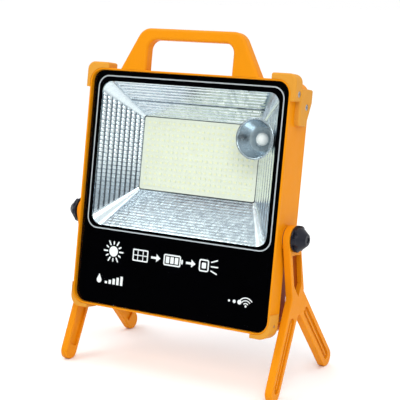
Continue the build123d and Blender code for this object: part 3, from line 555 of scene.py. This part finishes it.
def reflector():
    s = Shape()
    painted_lights = []
    n_t = RIBS * PER
    base = rounded(*WIN[:4], WIN[4], NX, NZ, NC)
    end = rounded(*LED[:4], LED[4], NX, NZ, NC)
    n = len(base)
    verts = []

    def slope(w):
        d = {"l": 33.0, "r": 33.0, "t": 32.0, "b": 39.0, "c": 34.0}[w]
        h = math.hypot(d, RY1 - RY0)
        return (RY1 - RY0) / h, d / h

    for k in range(n_t + 1):
        t = k / n_t
        for i in range(n):
            a, b = base[i], end[i]
            x, z = a[0] + (b[0] - a[0]) * t, a[1] + (b[1] - a[1]) * t
            y = RY0 + (RY1 - RY0) * t
            ca, sa = slope(a[4])
            fade = smooth(0, 0.012, t) * smooth(0, 0.012, 1 - t)
            # near a corner the relief dies out
            if a[4] in "lrbt":
                fade *= smooth(0.0, 0.02, a[5]) * smooth(0.0, 0.02, 1 - a[5])
            h, painted_light = relief(a[4], min(t, 0.9999), x, z, rnd)
            h = h * fade - 0.30
            painted_lights.append(max(0.0, min(1.0, painted_light)))
            verts.append((x - a[2] * ca * h, y - sa * h, z - a[3] * ca * h))
    keep = []

    def in_cup(p):
        r = 18.0 + (7.0 - 18.0) * (p[1] + 14.6) / 17.6
        return math.hypot(p[0] - CUP[0], p[2] - CUP[1]) < max(r, 7.0) + 0.75 and p[1] < 12.0

    for k in range(n_t):
        for i in range(n):
            j = (i + 1) % n
            q = (k * n + i, k * n + j, (k + 1) * n + j, (k + 1) * n + i)
            c = [sum(verts[m][d] for m in q) / 4 for d in range(3)]
            if not in_cup(c):
                keep.append(q)
    s.add(verts, keep)
    # outer skin
    back = []
    for k, t in enumerate((0.0, 0.25, 0.5, 0.75, 1.0)):
        for i in range(n):
            a, b = base[i], end[i]
            x, z = a[0] + (b[0] - a[0]) * t, a[1] + (b[1] - a[1]) * t
            y = RY0 + (RY1 - RY0) * t
            back.append((x + a[2] * 1.15, y if k else RY0, z + a[3] * 1.15))
    f = []
    for k in range(4):
        for i in range(n):
            j = (i + 1) % n
            q = (k * n + i, (k + 1) * n + i, (k + 1) * n + j, k * n + j)
            c = [sum(back[m][d] for m in q) / 4 for d in range(3)]
            if math.hypot(c[0] - CUP[0], c[2] - CUP[1]) > 26:
                f.append(q)
    s.add(back, f)
    # mouth flange and the lip round the LED opening
    outer = rounded(-103.6, 103.6, -14.3, 137.4, 9.0, NX, NZ, NC)
    nb = [(p[0] + p[2] * 0.25, p[1] + p[3] * 0.25) for p in base]
    fl = Shape()
    fl.ring([(p[0], p[1]) for p in outer], nb, RY0 - 1.15, RY0)
    good = []
    for q in fl.f:
        c = [sum(fl.v[m][d] for m in q) / 4 for d in range(3)]
        if math.hypot(c[0] - CUP[0], c[2] - CUP[1]) > 20.8:
            good.append(q)
    s.add(fl.v, good)
    lip_in = [(p[0] + p[2] * 0.12, p[1] + p[3] * 0.12) for p in end]
    lip_out = [(p[0] + p[2] * 1.3, p[1] + p[3] * 1.3) for p in end]
    s.ring(lip_out, lip_in, RY1 - 0.7, RY1 - 0.02)
    # screw tabs behind the walls
    for x, z in ((74.0, 25.0), (-74.0, 25.0), (74.0, 112.0), (-74.0, 112.0)):
        ring_o, ring_i = circle(x, z, 4.0, 32), circle(x, z, 1.45, 32)
        s.ring(ring_o, ring_i, RY1 - 1.35, RY1 - 0.02)
    return s, painted_lights


rs, painted_lights = reflector()
ob = piece("reflector_ribbed", rs.v, rs.f, "housing", ["reflector_silver"], sharp=60.0)
at = ob.data.attributes.new("painted_light", "FLOAT", "POINT")
at.data.foreach_set("value", [painted_lights[i] if i < len(painted_lights) else 0.85 for i in range(len(ob.data.vertices))])
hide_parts("reflector")

# ------------------------------------------------------------ sensor cup with a rolled lip
cs = Shape()
lip = [(18.9 + 1.05 * math.cos(math.radians(a)), -14.55 + 0.8 * math.sin(math.radians(a))) for a in range(30, -181, -15)]
inner = [(18.0 - 10.4 * t, -14.45 + 15.9 * t) for t in [i / 10 for i in range(0, 11)]]
outer = [(8.1, 2.95)] + [(8.2 + 11.0 * t, 2.95 - 17.3 * t) for t in [i / 8 for i in range(1, 8)]]
prof = lip + inner[1:-1] + [(7.3, 1.5), (7.0, 1.78), (6.25, 1.82), (6.25, 2.95)] + outer
cs.lathe_y(CUP[0], CUP[1], prof, 128)
cup = piece("sensor_cup_turned", cs.v, cs.f, "housing", ["cup_chrome"], sharp=40.0)
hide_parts("sensor_cup")

# ------------------------------------------------------------ LED packages: white frame, sunk phosphor
ls = Shape()
NCX, NCZ = 22, 12
for i in range(NCX):
    for j in range(NCZ):
        cx = -66.0 + 5.8 + i * (132.0 - 11.6) / (NCX - 1)
        cz = 28.0 + 5.2 + j * (73.0 - 10.4) / (NCZ - 1)
        o0 = loop(cx - 1.7, cx + 1.7, cz - 1.35, cz + 1.35, 0.28, 1, 1, 3)
        o1 = loop(cx - 1.62, cx + 1.62, cz - 1.27, cz + 1.27, 0.22, 1, 1, 3)
        i1 = loop(cx - 1.32, cx + 1.32, cz - 1.0, cz + 1.0, 0.42, 1, 1, 3)
        i0 = loop(cx - 1.22, cx + 1.22, cz - 0.9, cz + 0.9, 0.36, 1, 1, 3)
        n = len(o0)
        v = [(p[0], 17.19, p[1]) for p in o0] + [(p[0], 16.5, p[1]) for p in o0] + [(p[0], 16.42, p[1]) for p in o1] + \
            [(p[0], 16.42, p[1]) for p in i1] + [(p[0], 16.56, p[1]) for p in i0]
        f = []
        for k in range(4):
            for m in range(n):
                q = (m + 1) % n
                f.append((k * n + m, k * n + q, (k + 1) * n + q, (k + 1) * n + m))
        f.append(tuple(range(n - 1, -1, -1)))
        ls.add(v, f, 0)
        cap = [(p[0], 16.56, p[1]) for p in i0] + [((p[0] - cx) * 0.7 + cx, 16.52, (p[1] - cz) * 0.7 + cz) for p in i0]
        ls.add(cap, [(m, (m + 1) % n, n + (m + 1) % n, n + m) for m in range(n)] + [tuple(range(n, 2 * n))], 1)
leds = piece("led_packages", ls.v, ls.f, "housing", ["chip_frame", "led_phosphor"], ls.m, sharp=30.0)
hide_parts("led_chips")
# copper pads and a row of small resistors on the LED board's margin, behind the reflector walls
pr = Shape()
for i in range(16):
    x = -60.0 + 8.0 * i
    pr.prism(loop(x - 1.6, x + 1.6, 25.2, 26.8, 0.2, 1, 1, 2), 16.75, 17.19, 0)
    pr.prism(loop(x - 1.6, x - 1.0, 25.1, 26.9, 0.1, 1, 1, 2), 16.7, 17.19, 1)
    pr.prism(loop(x + 1.0, x + 1.6, 25.1, 26.9, 0.1, 1, 1, 2), 16.7, 17.19, 1)
piece("led_board_resistors", pr.v, pr.f, "housing", ["socket_black", "screw_steel"], pr.m)

# ------------------------------------------------------------ print on the back of the front glass
ms = Shape()
o_l = loop(-109.7, 109.7, -90.1, 143.46, 11.7, 40, 40, 12)
i_l = loop(-99.0, 99.0, -11.0, 133.0, 10.5, 40, 40, 12)
ms.ring(o_l, i_l, -15.72, -15.66)
piece("glass_print_black", ms.v, ms.f, "housing", ["print_black"])
st = Shape()
st.ring(loop(-104.1, 104.1, -15.1, 138.9, 12.0, 20, 20, 12), loop(-102.9, 102.9, -13.9, 137.7, 10.8, 20, 20, 12), -15.765, -15.73)
piece("glass_print_line", st.v, st.f, "housing", ["print_grey"])
ic = Shape()
Y0, Y1 = -15.768, -15.728


def icon_ring(x0, x1, z0, z1, r, w):
    ic.ring(loop(x0, x1, z0, z1, r), loop(x0 + w, x1 - w, z0 + w, z1 - w, max(r - w, 0.25)), Y0, Y1)


def icon_poly(p):
    ic.prism(p, Y0, Y1)


# sun with rays
sx, sz = -69.0, -36.0
icon_poly(circle(sx, sz, 5.2, 40))
for k in range(12):
    a = math.radians(30 * k)
    r1 = 11.2 if k % 2 == 0 else 9.6
    icon_poly(bar(sx + 7.4 * math.cos(a), sz + 7.4 * math.sin(a), sx + r1 * math.cos(a), sz + r1 * math.sin(a), 1.5))
# panel grid
icon_ring(-46, -28, -42, -30, 1.0, 1.3)
for x in (-40.0, -34.0):
    icon_poly(bar(x, -41.2, x, -30.8, 0.9))
icon_poly(bar(-45.2, -36, -28.8, -36, 0.9))
# arrow
icon_poly([(-24.5, -37.1), (-18.4, -37.1), (-18.4, -39.9), (-13.6, -36), (-18.4, -32.1), (-18.4, -34.9), (-24.5, -34.9)])
# battery
icon_ring(-10, 9.5, -41.6, -30.4, 1.8, 1.4)
icon_poly(loop(10.1, 11.9, -38.2, -33.8, 0.6))
for x in (-7.4, -2.3, 2.8):
    icon_poly(loop(x, x + 3.9, -39.2, -32.8, 0.5))
# arrow
icon_poly([(15.5, -37.1), (21.4, -37.1), (21.4, -39.9), (26.2, -36), (21.4, -32.1), (21.4, -34.9), (15.5, -34.9)])
# lamp head with beams
icon_ring(30.0, 41.0, -42, -30, 2.4, 1.4)
icon_poly(loop(33.2, 37.8, -38.8, -33.2, 0.9))
for dz, dx in ((4.2, 0.0), (0.0, 0.8), (-4.2, 0.0)):
    icon_poly(bar(43.6, -36 + dz, 49.8 + dx, -36 + dz * 1.55, 1.3))
# drop and rising bars, lower left
dp = circle(-83.5, -66.4, 2.9, 24, 150, 390, True)
icon_poly([(-83.5, -60.0)] + list(reversed([(p[0], p[1]) for p in dp])))
for k in range(5):
    icon_poly(loop(-76.5 + 4.6 * k, -73.6 + 4.6 * k, -69.0, -66.6 + 1.7 * k, 0.4))
# three brightness dots with a person-free sensor fan, lower right
for k in range(3):
    icon_poly(circle(66.0 + 5.6 * k, -65.0, 1.1 + 0.55 * k, 24))
for r in (3.4, 6.0, 8.6):
    outer_a = circle(84.0, -68.2, r, 16, 38, 142, True)
    inner_a = circle(84.0, -68.2, r - 1.0, 16, 38, 142, True)
    icon_poly(outer_a + list(reversed(inner_a)))
icon_poly(circle(84.0, -68.0, 1.1, 20))
piece("glass_print_icons", ic.v, ic.f, "housing", ["print_silver"])

# ------------------------------------------------------------ conductor lines on the solar cells
fs = Shape()
pxa, pxb, pza, pzb = -92.0, 92.0, -19.0, 127.0
cw = ((pxb - pxa) - 8.0 - 2.4) / 2
ch = ((pzb - pza) - 8.0 - 8 * 1.6) / 9
for i in range(2):
    for j in range(9):
        xa = pxa + 4.0 + i * (cw + 2.4)
        za = pza + 4.0 + j * (ch + 1.6)
        for t in (0.25, 0.75):
            zc = za + ch * t
            fs.prism([(xa + 0.6, zc - 0.45), (xa + cw - 0.6, zc - 0.45), (xa + cw - 0.6, zc + 0.45), (xa + 0.6, zc + 0.45)][::-1], 30.74, 30.79)
        k = int(cw / 2.2)
        for q in range(k):
            xc = xa + 1.1 + q * (cw - 2.2) / (k - 1)
            fs.prism([(xc - 0.07, za + 0.5), (xc + 0.07, za + 0.5), (xc + 0.07, za + ch - 0.5), (xc - 0.07, za + ch - 0.5)][::-1], 30.74, 30.77)
piece("solar_cell_fingers", fs.v, fs.f, "housing", ["socket_steel"])

# ------------------------------------------------------------ power mark moulded into the button
bs_ = Shape()
bx, bz = -30.0, -50.0
arc_o, arc_i = circle(bx, bz, 3.6, 28, 125, 415, True), circle(bx, bz, 2.8, 28, 125, 415, True)
bs_.prism(arc_o + list(reversed(arc_i)), 32.62, 32.798)
bs_.prism(bar(bx, bz + 1.4, bx, bz + 4.2, 0.8), 32.62, 32.798)
piece("button_power_mark", bs_.v, bs_.f, "power_button", ["print_silver"])

# ------------------------------------------------------------ parts on the control board, and its leads
es = Shape()
for (x, z, w, h, d, m) in ((-20, -66, 7, 7, 1.2, 0), (4, -66, 5, 6, 1.0, 0), (-44, -62, 4, 3, 0.8, 0), (20, -70, 6, 4, 1.6, 1),
                           (-8, -34, 3, 1.6, 0.6, 1), (2, -34, 3, 1.6, 0.6, 1), (12, -34, 3, 1.6, 0.6, 1), (-52, -46, 3.2, 1.6, 0.6, 1)):
    es.prism(loop(x - w / 2, x + w / 2, z - h / 2, z + h / 2, 0.3, 1, 1, 2)[::-1], 18.62, 18.6 + d, 0)
    if m == 0:
        for k in range(6):
            zz = z - h / 2 + 0.6 + k * (h - 1.2) / 5
            for s in (1, -1):
                es.prism([(x + s * w / 2, zz - 0.2), (x + s * (w / 2 + 0.9), zz - 0.2), (x + s * (w / 2 + 0.9), zz + 0.2), (x + s * w / 2, zz + 0.2)], 18.62, 18.8, 1)
for (x, z, r, hgt) in ((-50.0, -70.0, 2.6, 6.0), (30.0, -72.0, 2.1, 5.0)):
    es.lathe_y(x, z, [(0.01, 18.62), (r, 18.62), (r, 18.7 + hgt * 0.9), (r - 0.3, 18.6 + hgt), (0.01, 18.6 + hgt)], 32, 2)
piece("board_components", es.v, es.f, "housing", ["socket_black", "socket_steel", "cell_wrap"], es.m)


def tube(shape, pts, r, mat, n=12):
    P = [Vector(p) for p in pts]
    fine = []
    for k in range(len(P) - 1):
        p0, p1, p2, p3 = P[max(k - 1, 0)], P[k], P[k + 1], P[min(k + 2, len(P) - 1)]
        for q in range(8):
            t = q / 8
            fine.append(0.5 * ((2 * p1) + (-p0 + p2) * t + (2 * p0 - 5 * p1 + 4 * p2 - p3) * t * t + (-p0 + 3 * p1 - 3 * p2 + p3) * t ** 3))
    fine.append(P[-1])
    v = []
    up = Vector((1, 0, 0))
    for k, p in enumerate(fine):
        d = (fine[min(k + 1, len(fine) - 1)] - fine[max(k - 1, 0)]).normalized()
        a = d.cross(up).normalized() if abs(d.dot(up)) < 0.95 else d.cross(Vector((0, 0, 1))).normalized()
        b = d.cross(a).normalized()
        for i in range(n):
            g = 2 * math.pi * i / n
            v.append(tuple(p + a * r * math.cos(g) + b * r * math.sin(g)))
    f = [tuple(range(n)), tuple(range(len(v) - 1, len(v) - n - 1, -1))]
    for k in range(len(fine) - 1):
        for i in range(n):
            j = (i + 1) % n
            f.append((k * n + i, (k + 1) * n + i, (k + 1) * n + j, k * n + j))
    shape.add(v, f, mat)


ws = Shape()
for dx, mt in ((0.0, 0), (3.0, 1)):
    tube(ws, [(-20 + dx, 18.7, -27.4), (-20 + dx, 21.0, -27.0), (-20 + dx, 24.6, -20.0), (-19 + dx, 25.4, -6.0), (-18 + dx, 25.2, 8.0), (-18 + dx, 23.2, 14.0), (-18 + dx, 22.6, 17.6)], 0.75, mt)
piece("lamp_leads", ws.v, ws.f, "housing", ["copper_red", "wire_black"], ws.m, sharp=60.0)

# ------------------------------------------------------------ floor, light and camera
def stage_floor():
    me = bpy.data.meshes.new("floor")
    s = 6.0
    me.from_pydata([(-s, -s, -0.0002), (s, -s, -0.0002), (s, s, -0.0002), (-s, s, -0.0002)], [], [(0, 1, 2, 3)])
    m, nt, bs = new_mat("floor_pale")
    bs.inputs["Base Color"].default_value = (0.93, 0.93, 0.93, 1)
    bs.inputs["Roughness"].default_value = 0.9
    bs.inputs["Specular IOR Level"].default_value = 0.1
    me.materials.append(m)
    o = bpy.data.objects.new("floor", me)
    scene.collection.objects.link(o)


stage_floor()

world = bpy.data.worlds.new("studio")
scene.world = world
world.use_nodes = True
wt = world.node_tree
wt.nodes.clear()
w_out = wt.nodes.new("ShaderNodeOutputWorld")
w_mix = wt.nodes.new("ShaderNodeMixShader")
w_lp = wt.nodes.new("ShaderNodeLightPath")
w_cam = wt.nodes.new("ShaderNodeBackground")
w_cam.inputs["Color"].default_value = (1, 1, 1, 1)
w_cam.inputs["Strength"].default_value = 1.0
w_dir = wt.nodes.new("ShaderNodeBackground")
w_tc = wt.nodes.new("ShaderNodeTexCoord")
w_dot = wt.nodes.new("ShaderNodeVectorMath")
w_dot.operation = "DOT_PRODUCT"
w_dot.inputs[1].default_value = Vector((-0.496, -0.863, 0.097)).normalized()
w_hole = wt.nodes.new("ShaderNodeValToRGB")
e = w_hole.color_ramp.elements
e[0].position, e[0].color = 0.905, (1, 1, 1, 1)
e[1].position, e[1].color = 0.968, (0.012, 0.012, 0.014, 1)
w_sep = wt.nodes.new("ShaderNodeSeparateXYZ")
w_sky = wt.nodes.new("ShaderNodeValToRGB")
k = w_sky.color_ramp.elements
k[0].position, k[0].color = 0.0, (0.80, 0.81, 0.83, 1)
k[1].position, k[1].color = 0.9, (1.22, 1.22, 1.22, 1)
w_mul = wt.nodes.new("ShaderNodeMix")
w_mul.data_type = "RGBA"
w_mul.blend_type = "MULTIPLY"
w_mul.inputs["Factor"].default_value = 1.0
wt.links.new(w_tc.outputs["Generated"], w_dot.inputs[0])
wt.links.new(w_dot.outputs["Value"], w_hole.inputs["Fac"])
wt.links.new(w_tc.outputs["Generated"], w_sep.inputs["Vector"])
wt.links.new(w_sep.outputs["Z"], w_sky.inputs["Fac"])
wt.links.new(w_hole.outputs["Color"], w_mul.inputs[6])
wt.links.new(w_sky.outputs["Color"], w_mul.inputs[7])
wt.links.new(w_mul.outputs[2], w_dir.inputs["Color"])
w_dir.inputs["Strength"].default_value = 1.0
wt.links.new(w_lp.outputs["Is Camera Ray"], w_mix.inputs["Fac"])
wt.links.new(w_dir.outputs["Background"], w_mix.inputs[1])
wt.links.new(w_cam.outputs["Background"], w_mix.inputs[2])
wt.links.new(w_mix.outputs["Shader"], w_out.inputs["Surface"])


def area(name, loc, target, size, power):
    d = bpy.data.lights.new(name, "AREA")
    d.shape = "DISK"
    d.size = size
    d.energy = power
    o = bpy.data.objects.new(name, d)
    scene.collection.objects.link(o)
    o.location = loc
    o.rotation_euler = (Vector(target) - Vector(loc)).to_track_quat("-Z", "Y").to_euler()
    return o


area("overhead", (0.1, 0.15, 1.5), (0, 0, 0.1), 1.3, 3.0)
area("front_right", (0.75, -1.05, 1.05), (0, 0, 0.2), 0.7, 6.0)
area("front_left", (-0.75, -0.55, 1.25), (0, 0, 0.2), 0.6, 4.0)

cam = bpy.data.cameras.new("camera")
cam.lens = 107.02
cam.sensor_width = 36.0
co = bpy.data.objects.new("camera", cam)
scene.collection.objects.link(co)
co.location = (0.588856, -0.989827, 0.419989)
co.rotation_euler = (math.radians(77.678), 0.0, math.radians(30.503))
scene.camera = co
